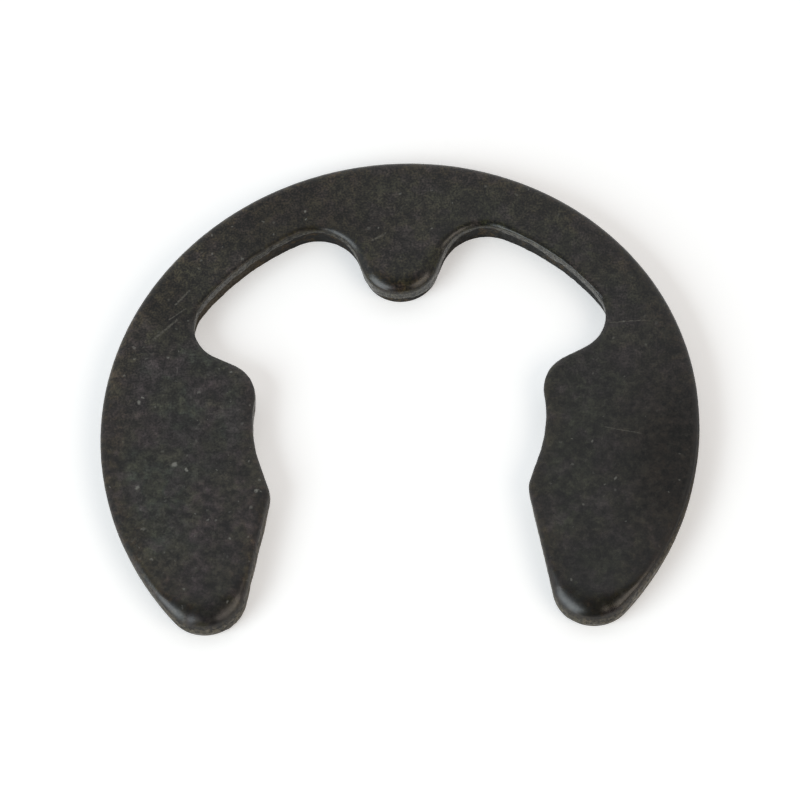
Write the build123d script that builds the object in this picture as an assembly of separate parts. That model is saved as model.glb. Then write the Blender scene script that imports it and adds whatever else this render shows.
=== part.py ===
from build123d import *
from math import atan2, cos, dist, pi, radians, sin, sqrt, tan
import os

# External retaining clip of the E pattern for a grooved shaft: one blank of spring steel, pierced and
# blanked through its thickness in a press, then hardened. It is pushed onto the shaft from the side,
# so that its two arms spread over the groove and close behind it.
# Millimetres and degrees. The shaft's axis is Z and passes through the origin, the clip's lower face
# is at Z = 0, its tooth comes down from +Y and its mouth opens towards -Y. X mirrors the clip.

# The blank
thickness = 1.5
outer_diameter = 29.4
rim_drop = 0.57  # the outer edge's centre lies this far below the shaft's axis, so the arms reach lower

# The seat: two short arcs on the arms and the tooth's tip, which bear on the bottom of the groove
seat_diameter = 14.4
seat_above = 19.5  # each arc runs from this angle above the X axis
seat_below = 18.0  # to this angle below it
tooth_preload = 0.27  # the unsprung tooth stands this far inside the seat's circle

# The mouth: under each arc a straight lead-in narrows to a lip, and below the lips the arms flare away
lip_grip = 0.9  # each lip stands this far inside the seat's width
flare_angle = 12.0
lip_radius = 0.9
arm_end_radius = 2.05

# The windows, one each side of the tooth, which leave the rim slim enough to spring
rim_top_width = 2.78
rim_side_width = 2.52
window_floor_angle = 27.0
window_corner_radius = 1.9
shoulder_radius = 1.9
floor_share = 0.45  # at most this share of a window floor's length goes to the round at either end

# The tooth
tooth_flank_angle = 21.0
tooth_tip_radius = 1.94
tooth_root_radius = 2.2

# The blanked edge: a soft roll where the punch went in, a straight sheared band, then a torn band
# that leans inwards to the lower face
roll_width = 0.4
roll_depth = 0.2
blend_share = 0.45  # of the roll's slope, taken by the blend along each of its two edges
torn_height = 0.9
torn_angle = 5.0

outer_radius = outer_diameter / 2
seat_radius = seat_diameter / 2
window_radius = outer_radius - rim_side_width
window_centre_y = -rim_drop - (rim_top_width - rim_side_width)
clear = outer_diameter  # a length that runs past the whole clip, for the open ends of cuts


def heading(angle):
    """The unit direction at an angle from the X axis."""
    return cos(radians(angle)), sin(radians(angle))


def step(point, direction, length):
    """The point that lies a length away in a direction."""
    return point[0] + length * direction[0], point[1] + length * direction[1]


def run_out(start, direction, centre_y, radius):
    """Where a line that starts inside a circle centred on the Y axis runs out through it."""
    along = start[0] * direction[0] + (start[1] - centre_y) * direction[1]
    inside = radius**2 - start[0] ** 2 - (start[1] - centre_y) ** 2
    return step(start, direction, sqrt(along**2 + inside) - along)


# Corners of the right half, before they are rounded
shoulder = step((0, 0), heading(seat_above), seat_radius)
window_floor = heading(window_floor_angle)
window_corner = run_out(shoulder, window_floor, window_centre_y, window_radius)
most_floor_round = floor_share * dist(shoulder, window_corner)
seat_end = step((0, 0), heading(-seat_below), seat_radius)
lead_in = heading(-90 - seat_below)
lip = step(seat_end, lead_in, (seat_end[0] - (seat_radius - lip_grip)) / sin(radians(seat_below)))
flare = heading(flare_angle - 90)
arm_end = run_out(lip, flare, -rim_drop, outer_radius)
tip_centre = (0, seat_radius - tooth_preload + tooth_tip_radius)
flank = heading(90 - tooth_flank_angle)
flank_foot = step(tip_centre, heading(-tooth_flank_angle), tooth_tip_radius)
tooth_root = run_out(flank_foot, flank, window_centre_y, window_radius)
most_root_round = dist(flank_foot, tooth_root)  # a larger round would run past the flank's foot


def mirrored(*right_points):
    """The closed shape whose right half has these points, from one end of its middle to the other."""
    left_points = [(-x, y) for x, y in reversed(right_points)]
    return make_face(Polyline(*right_points, *left_points, close=True))


def mouth():
    """The lead-in from the seat to the lips, and the flare below them."""
    return mirrored(step(lip, flare, clear), lip, seat_end)


def windows():
    """All that is open inside the rim and above the two sloping floors, with the tooth's place."""
    floor_end = step(shoulder, window_floor, clear)
    above_floors = mirrored(shoulder, floor_end, (floor_end[0], floor_end[1] + clear))
    return Pos(0, window_centre_y) * Circle(window_radius) & above_floors


def tooth():
    """The tooth: straight flanks tangent to a round tip, and run up into the rim."""
    flanks = mirrored(flank_foot, step(flank_foot, flank, clear))
    return flanks + Pos(*tip_centre) * Circle(tooth_tip_radius)


def round_pair(shape, point, radius):
    """Round the shape's corner at a point, and the corner that mirrors it."""
    corners = [shape.vertices().sort_by_distance((side * point[0], point[1], 0))[0] for side in (-1, 1)]
    return fillet(corners, radius)


def outline():
    """The clip's outline, as the sheared band keeps it."""
    opening = Circle(seat_radius) + mouth() + windows() - tooth()
    shape = Pos(0, -rim_drop) * Circle(outer_radius) - opening
    shape = round_pair(shape, shoulder, min(shoulder_radius, most_floor_round))
    shape = round_pair(shape, window_corner, min(window_corner_radius, most_floor_round))
    shape = round_pair(shape, tooth_root, min(tooth_root_radius, most_root_round))
    shape = round_pair(shape, lip, lip_radius)
    return round_pair(shape, arm_end, arm_end_radius)


def rolled(blank):
    """The blank with its upper edge rolled over: a slope that is blended into the face and the wall."""
    top = blank.faces().sort_by(Axis.Z)[-1]
    sloped = chamfer(top.edges(), roll_width, roll_depth, reference=top)
    blend = blend_share * sqrt(roll_width**2 + roll_depth**2)
    slope_angle = atan2(roll_depth, roll_width)
    face_edges = sloped.edges().group_by(Axis.Z)[-1]
    blended = fillet(face_edges, blend / tan(slope_angle / 2))
    wall_edges = blended.edges().group_by(Axis.Z)[2]  # the next ones up from the lower and the upright edges
    return fillet(wall_edges, blend / tan((pi / 2 - slope_angle) / 2))


def clip():
    """The clip, with its three bands of edge: rolled, sheared and torn."""
    band_start = Plane.XY.offset(torn_height) * outline()
    sheared = extrude(band_start, thickness - torn_height)
    torn = extrude(band_start, -torn_height, taper=torn_angle)
    return rolled(sheared) + torn


os.makedirs("parts", exist_ok=True)
export_step(clip(), "parts/retaining_clip.step")
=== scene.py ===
import cmath
import math

import bpy
import numpy as np
from mathutils import Matrix, Vector


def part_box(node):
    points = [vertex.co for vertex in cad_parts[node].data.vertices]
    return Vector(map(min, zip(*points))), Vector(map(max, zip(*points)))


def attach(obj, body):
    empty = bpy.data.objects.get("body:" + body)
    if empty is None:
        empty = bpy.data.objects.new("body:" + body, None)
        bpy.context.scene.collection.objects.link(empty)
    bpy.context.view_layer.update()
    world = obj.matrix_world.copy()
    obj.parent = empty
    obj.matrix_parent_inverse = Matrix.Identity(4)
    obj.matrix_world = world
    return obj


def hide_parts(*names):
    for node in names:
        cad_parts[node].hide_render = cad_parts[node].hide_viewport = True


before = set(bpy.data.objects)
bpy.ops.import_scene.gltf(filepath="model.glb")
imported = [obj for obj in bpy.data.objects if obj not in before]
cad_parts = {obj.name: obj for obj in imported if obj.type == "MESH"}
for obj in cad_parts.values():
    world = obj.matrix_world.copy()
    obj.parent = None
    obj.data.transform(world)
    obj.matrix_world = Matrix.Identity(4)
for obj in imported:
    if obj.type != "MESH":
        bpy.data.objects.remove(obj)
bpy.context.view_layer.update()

# ---------------------------------------------------------------------------------------------
# The retaining clip
# Hard-rolled spring steel strip, blanked in one stroke from the side that is the upper face here,
# then hardened, black phosphated and oiled. It is one piece: rim, tooth, windows and two arms.
# ---------------------------------------------------------------------------------------------
MM = 0.001
clip_low, clip_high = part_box("retaining_clip")
thickness = clip_high.z - clip_low.z

# the outline's sizes, as the blanking die has them
rim_radius = 14.7 * MM
rim_drop = 0.57 * MM  # the rim's centre lies this far below the shaft's axis
seat_radius = 7.2 * MM
seat_above, seat_below = 19.5, 18.0  # degrees above and below the X axis that each seat arc spans
lip_grip = 0.9 * MM  # each lip stands this far inside the seat's width
flare_angle = 12.0
tooth_preload = 0.27 * MM  # the tooth's tip stands this far inside the seat's circle
tooth_flank_angle = 21.0
window_radius = 12.18 * MM
window_drop = 0.83 * MM
window_floor_angle = 27.0
arm_end_round = 2.05 * MM
lip_round = 0.9 * MM
shoulder_round = 1.9 * MM
window_corner_round = 1.9 * MM
root_round = 2.2 * MM
tip_round = 1.94 * MM
heel_angle = 15.0  # the rim starts to roll more this far before the arm's end, round its own centre
column_pitch = 0.08 * MM  # spacing of the columns of faces round the edge


def heading(degrees):
    """A direction in the clip's plane, as a complex number of length 1."""
    return cmath.rect(1.0, math.radians(degrees))


class Straight:
    """A straight stretch of the outline, walked with the steel on the right."""

    def __init__(self, start, towards):
        self.start, self.towards = start, towards

    def inside(self, distance):
        return Straight(self.start - 1j * self.towards * distance, self.towards)

    def foot(self, point):
        return self.start + self.towards * ((point - self.start) / self.towards).real

    def walk(self, first, last):
        count = max(2, round(abs(last - first) / column_pitch))
        return [first + (last - first) * k / count for k in range(count)]


class Bow:
    """A round stretch, walked with the steel on the right: turn is 1 anticlockwise, -1 clockwise."""

    def __init__(self, centre, radius, turn):
        self.centre, self.radius, self.turn = centre, radius, turn

    def inside(self, distance):
        return Bow(self.centre, self.radius + self.turn * distance, self.turn)

    def foot(self, point):
        return self.centre + self.radius * (point - self.centre) / abs(point - self.centre)

    def walk(self, first, last):
        arm = first - self.centre
        sweep = self.turn * (self.turn * cmath.phase((last - self.centre) / arm) % math.tau)
        count = max(2, round(abs(sweep) * self.radius / column_pitch))
        return [self.centre + arm * cmath.rect(1.0, sweep * k / count) for k in range(count)]


def crossing(one, other, near):
    """Where a straight stretch crosses another stretch, at the crossing nearest a point."""
    straight, other = (one, other) if isinstance(one, Straight) else (other, one)
    if isinstance(other, Straight):
        gap = (other.start - straight.start) / other.towards
        return straight.start + straight.towards * gap.imag / (straight.towards / other.towards).imag
    middle = straight.foot(other.centre)
    half_chord = math.sqrt(other.radius**2 - abs(middle - other.centre) ** 2)
    ends = (middle + half_chord * straight.towards, middle - half_chord * straight.towards)
    return min(ends, key=lambda end: abs(end - near))


rim_centre = -1j * rim_drop
window_centre = -1j * window_drop
tip_centre = 1j * (seat_radius - tooth_preload + tip_round)
seat_end = seat_radius * heading(-seat_below)
shoulder = seat_radius * heading(seat_above)
lead_in_length = (seat_end.real - (seat_radius - lip_grip)) / math.sin(math.radians(seat_below))
lip = seat_end + heading(-90 - seat_below) * lead_in_length
flank_foot = tip_centre + tip_round * heading(-tooth_flank_angle)

rim = Bow(rim_centre, rim_radius, -1)
flare = Straight(lip, heading(90 + flare_angle))
lead_in = Straight(lip, heading(90 - seat_below))
seat = Bow(0j, seat_radius, 1)
window_floor = Straight(shoulder, heading(window_floor_angle))
window = Bow(window_centre, window_radius, 1)
flank = Straight(flank_foot, heading(-90 - tooth_flank_angle))
tip = Bow(tip_centre, tip_round, -1)

arm_end = crossing(flare, rim, lip - flare.towards * rim_radius)
window_corner = crossing(window_floor, window, shoulder + window_floor.towards * rim_radius)
root = crossing(flank, window, flank_foot - flank.towards * rim_radius)
heel = rim_centre + (rim.foot(arm_end) - rim_centre) * heading(heel_angle)
tip_end = tip_centre - 1j * tip_round

# the edge's section, which changes along the outline: how wide and how deep its upper corner rolls
# over, and how high its torn band reaches
window_edge = (0.26 * MM, 0.12 * MM, 0.90 * MM)
root_edge = (0.40 * MM, 0.24 * MM, 0.88 * MM)
seat_edge = (0.40 * MM, 0.22 * MM, 0.80 * MM)
flare_edge = (0.40 * MM, 0.25 * MM, 0.30 * MM)
rim_edge = (0.45 * MM, 0.25 * MM, 0.70 * MM)
heel_edge = (1.00 * MM, 0.55 * MM, 0.40 * MM)
arm_end_edge = (1.35 * MM, 0.75 * MM, 0.25 * MM)
tooth_edge = (0.95 * MM, 0.50 * MM, 0.40 * MM)
easing_length = 1.0 * MM  # each way, over which one edge passes into the next
mouth_tear = 0.4  # by this share the tears run higher where a wall faces the mouth

# each stretch and its edge, then the corner at its far end with that corner's round and edge: a
# round with a plus is convex, one with a minus is hollow
right_half = [
    (rim, rim_edge, heel, None, None),
    (rim, heel_edge, arm_end, arm_end_round, arm_end_edge),
    (flare, flare_edge, lip, lip_round, seat_edge),
    (lead_in, seat_edge, seat_end, None, None),
    (seat, seat_edge, shoulder, shoulder_round, seat_edge),
    (window_floor, seat_edge, window_corner, -window_corner_round, seat_edge),
    (window, window_edge, root, -root_round, root_edge),
    (flank, tooth_edge, flank_foot, None, None),
    (tip, tooth_edge, tip_end, None, None),
]
following_stretches = [stretch for stretch, *_ in right_half[1:]] + [None]
columns = []
here = rim_centre + 1j * rim_radius
for (stretch, edge, corner, rounding, corner_edge), following in zip(right_half, following_stretches):
    leave = arrive = corner
    if rounding:
        centre = crossing(stretch.inside(rounding), following.inside(rounding), corner)
        leave, arrive = stretch.foot(centre), following.foot(centre)
        turning = Bow(centre, abs(rounding), -1 if rounding > 0 else 1)
    columns += [(point, edge) for point in stretch.walk(here, leave)]
    if rounding:
        columns += [(point, corner_edge) for point in turning.walk(leave, arrive)]
    here = arrive
columns.append((here, edge))
columns += [(complex(-point.real, point.imag), edge) for point, edge in columns[-2:0:-1]]

points = np.array([point for point, _ in columns])
ahead = np.roll(points, -1) - np.roll(points, 1)
outward = 1j * ahead / abs(ahead)
easing = round(easing_length / column_pitch)
edges = np.array([edge for _, edge in columns])
edges = np.mean([np.roll(edges, shift, axis=0) for shift in range(-easing, easing + 1)], axis=0)
facing_mouth = np.clip(-outward.imag, 0, 1) ** 8  # steep, so that only the tips' walls count
edges[:, 2] *= 1 + mouth_tear * facing_mouth

# the walls: the punch rolls the upper face's rim over, then shears a bright band, and the last
# part of the edge tears
torn_wander = 0.30 * MM  # how far the line between the sheared and the torn band wanders
torn_lean = 0.079 * MM  # how far the torn band falls back by the lower face
ripple = 0.04 * MM  # how far the sheared edge wavers
tear_depth = 0.07 * MM
least_sheared = 0.05 * MM
lower_edge_break = 0.04 * MM
face_margin = 0.12 * MM  # flat ring round each face, which keeps its shading flat
wander_scale, ripple_scale, tear_scale = 1.0 / MM, 2.2 / MM, 5.0 / MM
tight_roll, soft_roll = 0.3 * MM, 0.5 * MM  # the edge wavers less as its roll widens between these
smeared_roll, clean_roll = 0.3 * MM, 0.4 * MM  # the punch smears a roll as tight as the first of these
roll_rows, sheared_rows, torn_rows, break_rows = 16, 4, 14, 3
X_AXIS, Y_AXIS, Z_AXIS = (1, 0, 0), (0, 1, 0), (0, 0, 1)


class Wire:
    """A node's output. Sums on it read as sums, and each one adds the Math nodes it needs."""

    def __init__(self, bench, socket):
        self.bench, self.socket = bench, socket

    def math(self, operation, *values):
        return self.bench.add("ShaderNodeMath", {"operation": operation}, dict(enumerate(values)))

    def __add__(self, other):
        return self.math("ADD", self, other)

    def __sub__(self, other):
        return self.math("SUBTRACT", self, other)

    def __rsub__(self, other):
        return self.math("SUBTRACT", other, self)

    def __mul__(self, other):
        return self.math("MULTIPLY", self, other)

    def __truediv__(self, other):
        return self.math("DIVIDE", self, other)

    def __pow__(self, other):
        return self.math("POWER", self, other)

    __radd__, __rmul__ = __add__, __mul__

    def sine(self):
        return self.math("SINE", self)

    def cosine(self):
        return self.math("COSINE", self)

    def at_least(self, other):
        return self.math("MAXIMUM", self, other)

    def at_most(self, other):
        return self.math("MINIMUM", self, other)

    def ramp(self, low, high, start=0.0, end=1.0):
        """Runs from start to end while this value goes from low to high, and stays there."""
        sockets = {"Value": self, "From Min": low, "From Max": high, "To Min": start, "To Max": end}
        return self.bench.add("ShaderNodeMapRange", {}, sockets)


class Bench:
    """A node tree being built."""

    def __init__(self, tree):
        self.tree = tree

    def add(self, kind, settings, sockets, output=0):
        """Adds a node: its settings first, then its sockets by name or place. Gives one output."""
        node = self.tree.nodes.new(kind)
        for name, value in settings.items():
            setattr(node, name, value)
        for key, value in sockets.items():
            if isinstance(value, Wire):
                self.tree.links.new(value.socket, node.inputs[key])
            elif isinstance(value, list):
                for wire in value:
                    self.tree.links.new(wire.socket, node.inputs[key])
            else:
                node.inputs[key].default_value = value
        return Wire(self, node.outputs[output]) if node.outputs else node

    def vector(self, operation, *values, output=0):
        return self.add("ShaderNodeVectorMath", {"operation": operation}, dict(enumerate(values)), output)

    def scaled(self, vector, factor):
        return self.add("ShaderNodeVectorMath", {"operation": "SCALE"}, {0: vector, "Scale": factor})

    def length(self, vector):
        return self.vector("LENGTH", vector, output="Value")

    def along(self, direction, vector):
        """How far a vector runs in a direction."""
        return self.vector("DOT_PRODUCT", vector, direction, output="Value")

    def noise(self, place, scale, detail=2.0, roughness=0.5):
        sockets = {"Vector": place, "Scale": scale, "Detail": detail, "Roughness": roughness}
        return self.add("ShaderNodeTexNoise", {}, sockets)

    def mixed(self, share, one, other):
        """One colour with a share of another."""
        return self.add("ShaderNodeMix", {"data_type": "RGBA"}, {0: share, 6: one, 7: other}, output=2)


def edge_section(bench, size, foot, rows, width, depth, torn_height):
    """How far in and how high each point of the walls lies, and how far the edge wavers there."""
    row, roll, sheared, torn, broken, below = rows
    wander = bench.noise(foot, wander_scale, detail=4.0, roughness=0.65) - 0.5
    torn_line = torn_height + size["Torn Wander"] * 2 * wander
    torn_line = torn_line.at_most(size["Thickness"] - depth - size["Least Sheared"])
    height = size["Thickness"] - depth * (1 - roll.cosine())
    height = height - sheared * (size["Thickness"] - depth - torn_line)
    height = height - torn * (torn_line - size["Lower Edge Break"])
    height = height - size["Lower Edge Break"] * broken.sine()

    squashed = bench.add("ShaderNodeCombineXYZ", {}, {"Z": height * 0.5})
    tear = bench.noise(bench.vector("ADD", foot, squashed), tear_scale, detail=3.0, roughness=0.65)
    tear = tear.ramp(0.3, 0.75) * size["Tear Depth"] * (torn * math.pi).sine() ** 0.4
    waver = bench.noise(foot, ripple_scale, detail=3.0, roughness=0.6).ramp(0.3, 0.7) * size["Ripple"]
    waver = waver * width.ramp(tight_roll, soft_roll, 1, 0)
    inset = (1 - row.at_most(1)) * size["Face Margin"] + width * (1 - roll.sine())
    inset = inset + torn * size["Torn Lean"] + tear + waver * roll.sine()
    inset = inset + size["Lower Edge Break"] * (1 - broken.cosine()) + below * size["Face Margin"]
    return inset, height, waver


def blanked_edge():
    """The tree that draws the outline down the clip's thickness and closes both faces."""
    tree = bpy.data.node_groups.new("Blanked edge", "GeometryNodeTree")
    sizes = {
        "Thickness": thickness,
        "Least Sheared": least_sheared,
        "Torn Wander": torn_wander,
        "Torn Lean": torn_lean,
        "Ripple": ripple,
        "Tear Depth": tear_depth,
        "Lower Edge Break": lower_edge_break,
        "Face Margin": face_margin,
    }
    tree.interface.new_socket("Outline", in_out="INPUT", socket_type="NodeSocketGeometry")
    for name, usual in sizes.items():
        tree.interface.new_socket(name, in_out="INPUT", socket_type="NodeSocketFloat").default_value = usual
    tree.interface.new_socket("Finish", in_out="INPUT", socket_type="NodeSocketMaterial")
    tree.interface.new_socket("Clip", in_out="OUTPUT", socket_type="NodeSocketGeometry")
    bench = Bench(tree)
    given = tree.nodes.new("NodeGroupInput")
    size = {name: Wire(bench, given.outputs[name]) for name in sizes}

    def attribute(name, kind="FLOAT"):
        return bench.add("GeometryNodeInputNamedAttribute", {"data_type": kind}, {"Name": name})

    def stored(geometry, name, value, kind="FLOAT"):
        settings = {"data_type": kind, "domain": "POINT"}
        sockets = {"Geometry": geometry, "Name": name, "Value": value}
        return bench.add("GeometryNodeStoreNamedAttribute", settings, sockets)

    position = bench.add("GeometryNodeInputPosition", {}, {})
    loop = stored(Wire(bench, given.outputs["Outline"]), "foot", position, "FLOAT_VECTOR")
    loop = bench.add("GeometryNodeMeshToCurve", {}, {"Mesh": loop})

    # the section's rows, numbered from the upper face's ring to the lower face's
    roll_end = 1 + roll_rows
    torn_start = roll_end + sheared_rows
    torn_end = torn_start + torn_rows
    last_row = torn_end + break_rows + 1
    section = bench.add("GeometryNodeMeshLine", {}, {"Count": last_row + 1, "Offset": (0, 0, -MM)})
    section = stored(section, "row", bench.add("GeometryNodeInputIndex", {}, {}))
    section = bench.add("GeometryNodeMeshToCurve", {}, {"Mesh": section})
    walls = bench.add("GeometryNodeCurveToMesh", {}, {"Curve": loop, "Profile Curve": section})
    walls = bench.add("GeometryNodeFlipFaces", {}, {"Mesh": walls})

    # how far each band has run at each row: the two round ones as an angle, the others as a share
    quarter = math.pi / 2
    row = attribute("row")
    roll = row.ramp(1, roll_end, end=quarter)
    sheared = row.ramp(roll_end, torn_start)
    torn = row.ramp(torn_start, torn_end)
    broken = row.ramp(torn_end, torn_end + break_rows, end=quarter)
    below = row.ramp(last_row - 1, last_row)

    foot, outward_from_foot = attribute("foot", "FLOAT_VECTOR"), attribute("outward", "FLOAT_VECTOR")
    width, depth, torn_height = (attribute(name) for name in ("roll_width", "roll_depth", "torn_height"))
    rows = (row, roll, sheared, torn, broken, below)
    inset, height, waver = edge_section(bench, size, foot, rows, width, depth, torn_height)
    place = bench.vector("SUBTRACT", foot, bench.scaled(outward_from_foot, inset))
    place = bench.vector("ADD", place, bench.add("ShaderNodeCombineXYZ", {}, {"Z": height}))
    walls = bench.add("GeometryNodeSetPosition", {}, {"Geometry": walls, "Position": place})

    # for the finish: a tight roll is smeared much like the sheared band, a wide one like the face
    in_tear = (torn * 8).at_most(1)  # full from the tear's first eighth on
    rolled_over = (roll / quarter) ** width.ramp(smeared_roll, clean_roll, 0.35, 1)
    walls = stored(walls, "torn", in_tear * (1 - broken / quarter))
    walls = stored(walls, "sheared", rolled_over * (1 - in_tear))

    # each face is the loop at its own ring, filled
    def face(inset_of_ring, height_of_ring):
        ring = bench.vector("SUBTRACT", foot, bench.scaled(outward_from_foot, inset_of_ring))
        filled = bench.add("GeometryNodeSetPosition", {}, {"Geometry": loop, "Position": ring})
        filled = bench.add("GeometryNodeFillCurve", {"mode": "NGONS"}, {"Curve": filled})
        lift = bench.add("ShaderNodeCombineXYZ", {}, {"Z": height_of_ring})
        return bench.add("GeometryNodeSetPosition", {}, {"Geometry": filled, "Offset": lift})

    upper = face(width + size["Face Margin"], size["Thickness"])
    lower = face(waver + size["Torn Lean"] + size["Lower Edge Break"] + size["Face Margin"], 0.0)
    lower = bench.add("GeometryNodeFlipFaces", {}, {"Mesh": lower})
    clip = bench.add("GeometryNodeJoinGeometry", {}, {"Geometry": [walls, upper, lower]})
    clip = bench.add("GeometryNodeMergeByDistance", {}, {"Geometry": clip, "Distance": 0.001 * MM})
    clip = bench.add("GeometryNodeSetShadeSmooth", {}, {"Geometry": clip})
    for spent in ("foot", "outward", "roll_width", "roll_depth", "torn_height", "row"):
        clip = bench.add("GeometryNodeRemoveAttribute", {}, {"Geometry": clip, "Name": spent})
    clip = bench.add("GeometryNodeRealizeInstances", {}, {"Geometry": clip})
    sockets = {"Geometry": clip, "Material": Wire(bench, given.outputs["Finish"])}
    clip = bench.add("GeometryNodeSetMaterial", {}, sockets)
    bench.add("NodeGroupOutput", {}, {"Clip": clip})
    return tree


def made_by(tree, mesh, name, **values):
    """An object whose mesh is what the tree makes of the given mesh."""
    piece = bpy.data.objects.new(name, mesh)
    bpy.context.scene.collection.objects.link(piece)
    growth = piece.modifiers.new(tree.name, "NODES")
    growth.node_group = tree
    for socket in tree.interface.items_tree:
        if socket.in_out == "INPUT" and socket.name in values:
            growth[socket.identifier] = values[socket.name]
    bpy.context.view_layer.update()
    made = bpy.data.meshes.new_from_object(piece.evaluated_get(bpy.context.evaluated_depsgraph_get()))
    piece.modifiers.remove(growth)
    made.materials.pop(index=0)  # the empty slot that the tree's new mesh starts with
    piece.data = made
    made.name = name
    return piece


# the finish's colours: the faces' first, then the marks on them, then the cut edges'
rosy_grey = (0.0124, 0.0096, 0.0088, 1)
green_grey = (0.0086, 0.0104, 0.0078, 1)
yellow_grey = (0.0120, 0.0110, 0.0040, 1)
violet_grey = (0.0122, 0.0090, 0.0104, 1)
olive_grey = (0.0104, 0.0104, 0.0060, 1)
dried_oil = (0.0165, 0.0112, 0.0056, 1)
brown_stain = (0.0046, 0.0024, 0.0006, 1)
bare_crystal = (0.20, 0.20, 0.18, 1)
pale_dust = (0.050, 0.048, 0.038, 1)
scratched_steel = (0.09, 0.085, 0.07, 1)
smooth_shear = (0.013, 0.011, 0.004, 1)
# the sheared bands' own brown, darker high up as painted shade and paler low down as a painted reflection of
# the white table
dark_shear_painted_shade_high, pale_shear_painted_reflection_low = (0.013, 0.0085, 0.0040, 1), (0.043, 0.036, 0.022, 1)
dark_tear, rusty_tear = (0.0040, 0.0036, 0.0028, 1), (0.030, 0.019, 0.007, 1)
# paler torn colour for the left: painted light from the right lamp
pale_tear_painted_light = (0.060, 0.048, 0.031, 1)

# how fine each of the finish's patterns is, per millimetre
grain_scale, clump_scale, blotch_scale, drift_scale = 10.0, 3.0, 0.9, 0.35
cloth_scale, sway_scale, speck_scale, dust_scale = 1.0, 5.0, 1.9, 4.5
streak_scale, pit_scale = 4.0, 5.0

# marks on the upper face, in millimetres
stains = [  # middle, reach along X and Y, strength
    ((13.4, -3.2), (2.9, 6.4), 1.0),
    ((-11.3, 6.1), (1.8, 2.6), 0.6),
    ((-5.2, 10.6), (5.4, 3.2), 0.6),
]
spots = [  # larger crystals: place and size
    ((-11.0, -2.35), 0.14), ((-10.4, -2.65), 0.10), ((-12.8, 1.1), 0.11), ((-12.6, 1.35), 0.08),
    ((-12.8, -3.55), 0.10), ((-6.95, -3.9), 0.09), ((-4.7, 11.45), 0.08), ((-4.65, 11.0), 0.06),
]
scratches = [  # both ends and the width
    ((-12.15, 4.55), (-11.0, 5.6), 0.08), ((-11.1, 6.45), (-10.4, 7.2), 0.07),
    ((-11.4, 5.6), (-10.6, 6.2), 0.04), ((10.1, -0.9), (11.8, -1.3), 0.027),
    ((-1.35, 9.75), (-0.7, 10.1), 0.07), ((10.4, 4.8), (12.1, 4.9), 0.035),
]
dusty_middle, dusty_reach = (-11.2, -5.4), (2.6, 4.0)


def gap_to(bench, place, centre, reach):
    """How far a place is from one on the upper face, where the reach along X and Y counts as 1."""
    gap = bench.vector("SUBTRACT", place, (*centre, thickness / MM))
    return bench.length(bench.vector("MULTIPLY", gap, (1 / reach[0], 1 / reach[1], 1 / max(reach))))


def scratch(bench, place, start, end, width):
    """A fine line on the upper face, 1 in its middle."""
    run = Vector(end) - Vector(start)
    direction = (run.x / run.length, run.y / run.length, 0)
    from_start = bench.vector("SUBTRACT", place, (*start, thickness / MM))
    step = bench.along(direction, from_start).at_least(0).at_most(run.length)
    gap = bench.length(bench.vector("SUBTRACT", from_start, bench.scaled(direction, step)))
    return gap.ramp(width * 0.4, width, 1, 0)


def oil_by_edges(bench, place, y, blotches):
    """1 along the rim, the seat and the mouth's flares, where the oil gathers and dries."""
    flare_slope = math.tan(math.radians(flare_angle))
    flare_start = (lip.real + lip.imag * flare_slope) / MM
    from_rim_centre = bench.vector("SUBTRACT", place, (0, -rim_drop / MM, thickness / MM))
    rim_gap = rim_radius / MM - bench.length(from_rim_centre)
    seat_gap = bench.length(place) - seat_radius / MM
    across = bench.along(X_AXIS, bench.vector("ABSOLUTE", place))
    flare_gap = across + y * flare_slope - flare_start
    by_rim = (rim_gap + blotches * 1.2).ramp(0.9, 2.2, 1, 0)
    by_seat = (seat_gap + blotches).ramp(0.6, 1.6, 1, 0)
    by_flare = (flare_gap + blotches).ramp(0.6, 1.8, 1, 0) * y.ramp(-2, -4)
    return by_rim.at_least(by_seat).at_least(by_flare)


def face_colour(bench, place, x, y, blotches, stain):
    """Greys that drift between green, rose and violet, browner where oil dried or stained them."""
    drift = bench.noise(place, drift_scale, detail=2.0)
    cloth = bench.noise(bench.vector("ADD", place, (31.0, 17.0, 5.0)), cloth_scale, detail=2.0)
    yellowed = x.ramp(-8, 6, 0, 0.6).at_least(y.ramp(3, 8))  # to the right and round the tooth
    colour = bench.mixed(drift.ramp(0.42, 0.58), rosy_grey, green_grey)
    colour = bench.mixed(yellowed * 0.5, colour, yellow_grey)
    colour = bench.mixed(oil_by_edges(bench, place, y, blotches) * 0.8, colour, dried_oil)
    colour = bench.mixed(cloth.ramp(0.50, 0.60, 0, 0.6), colour, violet_grey)
    colour = bench.mixed(cloth.ramp(0.50, 0.40, 0, 0.6), colour, olive_grey)
    return bench.mixed(stain, colour, brown_stain)


def bare_crystals(bench, x, frayed):
    """Specks where bare phosphate shows: fine ones, thicker on the left arm, and the larger spots."""
    cells = {"Vector": frayed, "Scale": speck_scale}
    flat = {"voronoi_dimensions": "2D"}
    gap = bench.add("ShaderNodeTexVoronoi", flat, cells, output="Distance")
    draw = bench.add("ShaderNodeTexVoronoi", flat, cells, output="Color")
    rank, size, brightness = (bench.along(axis, draw) for axis in (X_AXIS, Y_AXIS, Z_AXIS))
    present = (x.ramp(-8, -4, 0.4, 0.15) - rank).ramp(0, 0.05)
    crystal = (gap / (size * 0.12 + 0.05)).ramp(0.5, 1.1, 1, 0) * present
    crystal = crystal * brightness**2 * 0.55
    for centre, reach in spots:
        crystal = crystal.at_least(gap_to(bench, frayed, centre, (reach, reach)).ramp(0.5, 1.2, 0.75, 0))
    return crystal


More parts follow.
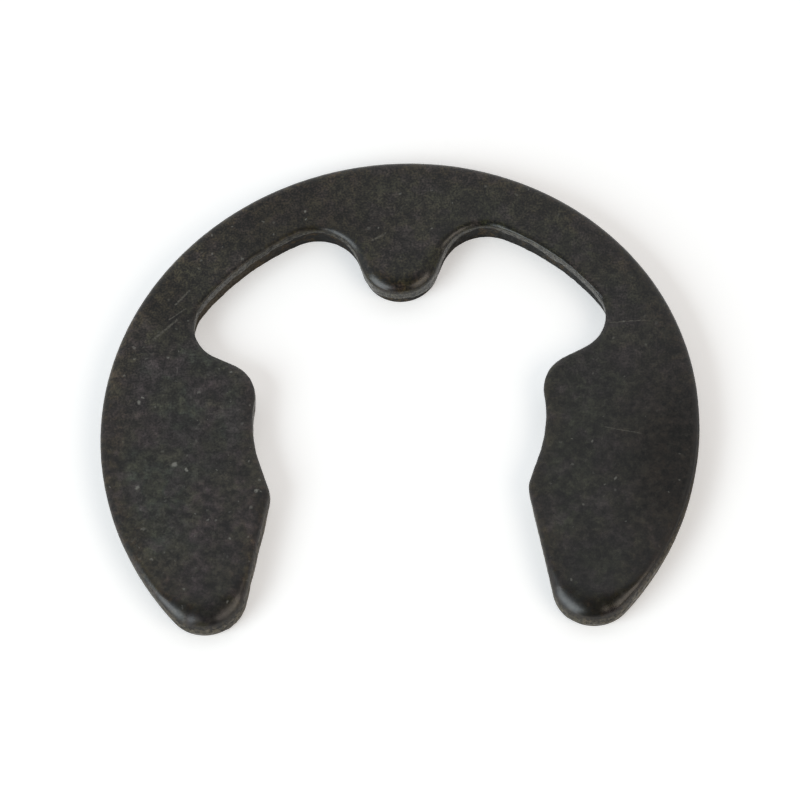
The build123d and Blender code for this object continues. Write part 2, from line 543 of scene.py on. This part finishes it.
def cut_edges(bench, place, parts_of_place, textures):
    """The cut bands: streaked where they sheared, dark and rust-specked where they tore, and dried out
    towards the mouth, where their brown is darker high up as painted shade and paler low down as a painted
    reflection of the white table. Paler torn bands on the left are painted light. Gives both colours, then
    the sheared band's roughness and its relief."""
    x, y, z = parts_of_place
    grain, clumps, blotches = textures
    upright = bench.vector("MULTIPLY", place, (1, 1, 0.12))
    streaks = bench.noise(upright, streak_scale, detail=3.0, roughness=0.6)
    pits = bench.noise(place, pit_scale, detail=2.0, roughness=0.7)
    dried = y.ramp(-5, 3, 1, 0) + (blotches - 0.5)
    # darker brown high up as painted shade, paler low down as a painted reflection of the white table
    browned_with_painted_reflection = bench.mixed(z.ramp(1.25, 0.45), dark_shear_painted_shade_high, pale_shear_painted_reflection_low)
    streaked = streaks.ramp(0.3, 0.7, 0.5, 1.6) * pits.ramp(0.38, 0.62, 0.2, 2.1)
    sheared_colour = bench.scaled(bench.mixed(dried, smooth_shear, browned_with_painted_reflection), streaked)
    rusty = (clumps * 0.6 + blotches * 0.4).ramp(0.52, 0.62)
    torn_colour = bench.mixed(rusty, dark_tear, rusty_tear)
    torn_colour = bench.mixed(y.ramp(-5, 1), sheared_colour, torn_colour)
    torn_colour = bench.mixed(x.ramp(-5.5, -8, 0, 0.6), torn_colour, pale_tear_painted_light)  # on the left: painted light, paler where the left window's walls face the right lamp
    torn_colour = bench.scaled(torn_colour, grain.ramp(0.3, 0.7, 0.4, 1.8))
    sheared_roughness = 0.3 - pits * 0.6 + dried.ramp(0, 1, 0, 0.35)
    return sheared_colour, torn_colour, sheared_roughness, streaks + pits * 4


def phosphate_and_oil():
    """Near-black phosphated steel under a film of oil, with the marks of press, barrel and box, and painted
    light and shade on its faces and cut bands.
    """
    finish = bpy.data.materials.new("phosphate_and_oil")
    finish.use_nodes = True
    finish.node_tree.nodes.clear()
    bench = Bench(finish.node_tree)
    place = bench.add("ShaderNodeTexCoord", {}, {}, output="Object")
    place = bench.scaled(place, 1 / MM)  # from here on, in millimetres
    x, y, z = (bench.along(axis, place) for axis in (X_AXIS, Y_AXIS, Z_AXIS))
    sockets = {"Vector": place, "Scale": sway_scale, "Detail": 2.0}
    sway = bench.add("ShaderNodeTexNoise", {}, sockets, output="Color")
    sway = bench.vector("SUBTRACT", sway, (0.5, 0.5, 0.5))
    frayed = bench.vector("ADD", place, bench.scaled(sway, 0.28))  # for marks with an uneven edge
    unsteady = bench.vector("ADD", place, bench.scaled(sway, 0.10))

    grain = bench.noise(place, grain_scale, detail=1.0)
    clumps = bench.noise(place, clump_scale, detail=2.0)
    blotches = bench.noise(place, blotch_scale, detail=1.0)
    rubbed = y.ramp(8, -2)  # the arms have been handled more and their grain is fainter
    grain = grain * (1 - rubbed * 0.6) + rubbed * 0.3
    mottle = grain * 0.50 + clumps * 0.36 + blotches * 0.14

    # the faces, with their marks
    stain = 0
    for centre, reach, strength in stains:
        gap = gap_to(bench, frayed, centre, reach) + (clumps - 0.5) * 0.6
        stain = gap.ramp(0.35, 1.15, strength, 0).at_least(stain)
    scored = 0
    for start, end, width in scratches:
        scored = scratch(bench, unsteady, start, end, width).at_least(scored)
    scored = scored * grain.ramp(0.40, 0.55, 0.4, 1)
    crystal = bare_crystals(bench, x, frayed)
    dusty = gap_to(bench, frayed, dusty_middle, dusty_reach).ramp(0.5, 1.2, 1, 0.3)
    dust = bench.noise(frayed, dust_scale, detail=1.0).ramp(0.58, 0.70) * dusty
    painted_light_and_shade = x.ramp(-14, 14, 1.30, 0.66) * y.ramp(-11, -7, 0.6, 1)  # painted light and shade: paler on the left as painted light from the window's side, darker at the arms' tips as painted shade
    shade = mottle.ramp(0.395, 0.625, 0.27, 2.1) ** 2 * painted_light_and_shade
    colour = bench.scaled(face_colour(bench, place, x, y, blotches, stain), shade)
    colour = bench.mixed(scored * 0.8, colour, scratched_steel)
    colour = bench.mixed(crystal, colour, bare_crystal)
    colour = bench.mixed(dust * 0.6, colour, pale_dust)
    roughness = mottle.ramp(0.42, 0.58, 0.46, 0.24) + stain * 0.4

    # the edges
    torn = bench.add("ShaderNodeAttribute", {"attribute_name": "torn"}, {}, output="Fac")
    rolled_over = bench.add("ShaderNodeAttribute", {"attribute_name": "sheared"}, {}, output="Fac")
    sheared = rolled_over.ramp(0.7, 1.0)
    rolled = rolled_over.ramp(0.15, 0.5) * (1 - sheared)
    cut = cut_edges(bench, place, (x, y, z), (grain, clumps, blotches))
    sheared_colour, torn_colour, sheared_roughness, sheared_relief = cut
    colour = bench.mixed(sheared, colour, sheared_colour)
    colour = bench.mixed(torn, colour, torn_colour)

    rolled_roughness = x.ramp(7, 11, 0.25, 0.20) - y.ramp(2, 6, 0, 0.04)
    roughness = roughness * (1 - rolled * 0.8) + rolled * rolled_roughness + sheared_roughness * sheared
    roughness = (roughness + torn * y.ramp(-5, 1) * 0.6).at_most(1)
    relief = (grain + clumps) * (1 - rolled * 0.8) - crystal * 0.5 - scored
    relief = relief + torn * grain * 2 + sheared * sheared_relief
    bumps = bench.add("ShaderNodeBump", {}, {"Strength": 0.6, "Distance": 0.01 * MM, "Height": relief})
    sockets = {"Base Color": colour, "Roughness": roughness, "Normal": bumps, "IOR": 1.5}
    steel = bench.add("ShaderNodeBsdfPrincipled", {}, sockets)
    bench.add("ShaderNodeOutputMaterial", {}, {"Surface": steel})
    return finish


loop_mesh = bpy.data.meshes.new("retaining_clip_outline")
count = len(points)
loop_mesh.from_pydata(
    [(point.real, point.imag, clip_low.z) for point in points],
    [(k, (k + 1) % count) for k in range(count)],
    [],
)
outward_values = np.column_stack([outward.real, outward.imag, 0 * outward.real]).ravel()
loop_mesh.attributes.new("outward", "FLOAT_VECTOR", "POINT").data.foreach_set("vector", outward_values)
for name, values in zip(("roll_width", "roll_depth", "torn_height"), edges.T):
    loop_mesh.attributes.new(name, "FLOAT", "POINT").data.foreach_set("value", values)

clip = made_by(blanked_edge(), loop_mesh, "blanked_clip", Thickness=thickness, Finish=phosphate_and_oil())
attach(clip, "root")
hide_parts("retaining_clip")

# ---------------------------------------------------------------------------------------------
# The table and the wall round it
# Matt white card for the clip to lie on, with a low white wall far off behind it on all sides.
# ---------------------------------------------------------------------------------------------
table_radius = 1.5
wall_height = 0.35
round_sides = 96
card_white = 0.9
table_glow, wall_glow = 0.32, 0.8
table_gap = 0.01 * MM  # the table lies this far under the clip


def white_card(name, glow):
    """Matt white, with the given glow of its own towards the camera, gloss and glass."""
    card = bpy.data.materials.new(name)
    card.use_nodes = True
    card.node_tree.nodes.clear()
    bench = Bench(card.node_tree)
    rays = ("Is Camera Ray", "Is Glossy Ray", "Is Transmission Ray")
    seen, mirrored, through = (bench.add("ShaderNodeLightPath", {}, {}, output=ray) for ray in rays)
    strength = (seen + mirrored + through).at_most(1) * glow
    matt = bench.add("ShaderNodeBsdfDiffuse", {}, {"Color": (card_white, card_white, card_white, 1)})
    glowing = bench.add("ShaderNodeEmission", {}, {"Strength": strength})
    both = bench.add("ShaderNodeAddShader", {}, {0: matt, 1: glowing})
    bench.add("ShaderNodeOutputMaterial", {}, {"Surface": both})
    return card


bpy.ops.mesh.primitive_circle_add(
    vertices=round_sides, radius=table_radius, fill_type="NGON", location=(0, 0, clip_low.z - table_gap)
)
table = bpy.context.object
table.name = "table"
table.data.materials.append(white_card("white_card", table_glow))
bpy.ops.mesh.primitive_cylinder_add(
    vertices=round_sides,
    radius=table_radius,
    depth=wall_height,
    end_fill_type="NOTHING",
    location=(0, 0, wall_height / 2 - MM),
)
wall = bpy.context.object
wall.name = "wall"
wall.data.flip_normals()
wall.data.materials.append(white_card("far_white_card", wall_glow))

# ---------------------------------------------------------------------------------------------
# The light
# A room that is dim on the mouth's side and bright behind the tooth, a cool window to the left and
# a weaker, warmer lamp to the right, both broad and soft.
# ---------------------------------------------------------------------------------------------
room_front, room_behind = 0.05, 0.95
front_ends, behind_starts = -0.10, 0.44  # it brightens between these, which are parts along +Y
room = bpy.data.worlds.new("room")
bpy.context.scene.world = room
room.use_nodes = True
room.node_tree.nodes.clear()
bench = Bench(room.node_tree)
behind = bench.along(Y_AXIS, bench.add("ShaderNodeTexCoord", {}, {}, output="Generated"))
brightness = behind.ramp(front_ends, behind_starts, room_front, room_behind)
background = bench.add("ShaderNodeBackground", {}, {"Strength": brightness})
bench.add("ShaderNodeOutputWorld", {}, {"Surface": background})
lamp_distance = 0.5


def lamp(name, azimuth, elevation, width, height, radiance, colour):
    """A soft oblong light that faces the clip, with the given brightness of its surface."""
    light = bpy.data.lights.new(name, "AREA")
    light.shape, light.size, light.size_y = "RECTANGLE", width, height
    light.energy = radiance * math.pi * width * height
    light.color = colour
    holder = bpy.data.objects.new(name, light)
    bpy.context.scene.collection.objects.link(holder)
    across, up = heading(azimuth), heading(elevation)
    towards = Vector((across.real * up.real, across.imag * up.real, up.imag))
    holder.location = towards * lamp_distance
    holder.rotation_euler = towards.to_track_quat("Z", "Y").to_euler()
    holder.visible_camera = False


lamp(
    "window_left", azimuth=-148, elevation=32, width=0.38, height=0.34, radiance=4.7, colour=(0.88, 0.96, 1.0)
)
lamp(
    "lamp_right", azimuth=-34, elevation=40, width=0.36, height=0.28, radiance=2.6, colour=(1.0, 0.89, 0.78)
)

# ---------------------------------------------------------------------------------------------
# The camera
# A long lens high in front of the mouth, a little to the right of the middle and tilted slightly,
# so that the tooth is at the top and both arms come down towards it.
# ---------------------------------------------------------------------------------------------
azimuth, elevation, roll_angle = math.radians(7.70), math.radians(63.26), math.radians(-8.39)
target = Vector((-0.0455, 1.598, 0.0)) * MM
camera_distance = 365.65 * MM
sensor_width, focal_length = 36.0, 334.0
nearest, farthest = 0.01, 10.0

back = Vector((
    math.sin(azimuth) * math.cos(elevation),
    -math.cos(azimuth) * math.cos(elevation),
    math.sin(elevation),
))
level_right = Vector((math.cos(azimuth), math.sin(azimuth), 0.0))
level_up = back.cross(level_right)
right = level_right * math.cos(roll_angle) + level_up * math.sin(roll_angle)
up = level_up * math.cos(roll_angle) - level_right * math.sin(roll_angle)

lens = bpy.data.cameras.new("camera")
lens.sensor_width, lens.lens = sensor_width, focal_length
lens.clip_start, lens.clip_end = nearest, farthest
camera = bpy.data.objects.new("camera", lens)
bpy.context.scene.collection.objects.link(camera)
turned = Matrix((right, up, back)).transposed().to_4x4()
camera.matrix_world = Matrix.Translation(target + back * camera_distance) @ turned
bpy.context.scene.camera = camera
bpy.context.scene.view_settings.view_transform = "Standard"
